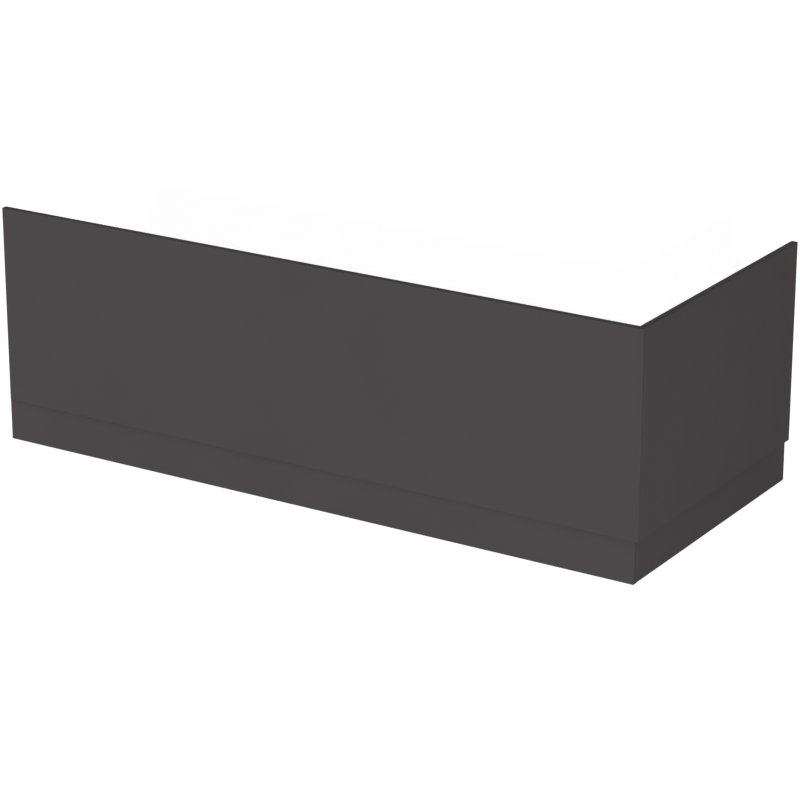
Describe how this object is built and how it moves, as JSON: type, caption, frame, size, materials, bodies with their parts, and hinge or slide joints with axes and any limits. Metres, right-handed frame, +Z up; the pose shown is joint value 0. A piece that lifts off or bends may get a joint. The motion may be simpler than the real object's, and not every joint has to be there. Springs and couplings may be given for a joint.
{
  "type": "bath panel",
  "caption": "L-shaped bath panel of flat dark grey boards: a long front and a short end meeting at a corner, each with a set-back plinth board behind its lower edge.",
  "frame": {"origin": "on the floor, under the centre of the whole set's bounding box", "axes": "+X along the front panel towards the corner, +Y from the front face back towards the wall, +Z up"},
  "size_m": [1.612, 0.712, 0.55],
  "materials": {
    "grey_board": "medium density fibreboard, faced and edged in smooth satin dark grey, pale plain back",
    "zinc_screws": "dull zinc plate"
  },
  "bodies": {
    "root": {"front_panel": "grey_board", "front_plinth": "grey_board", "end_panel": "grey_board", "end_plinth": "grey_board"}
  },
  "joints": []
}
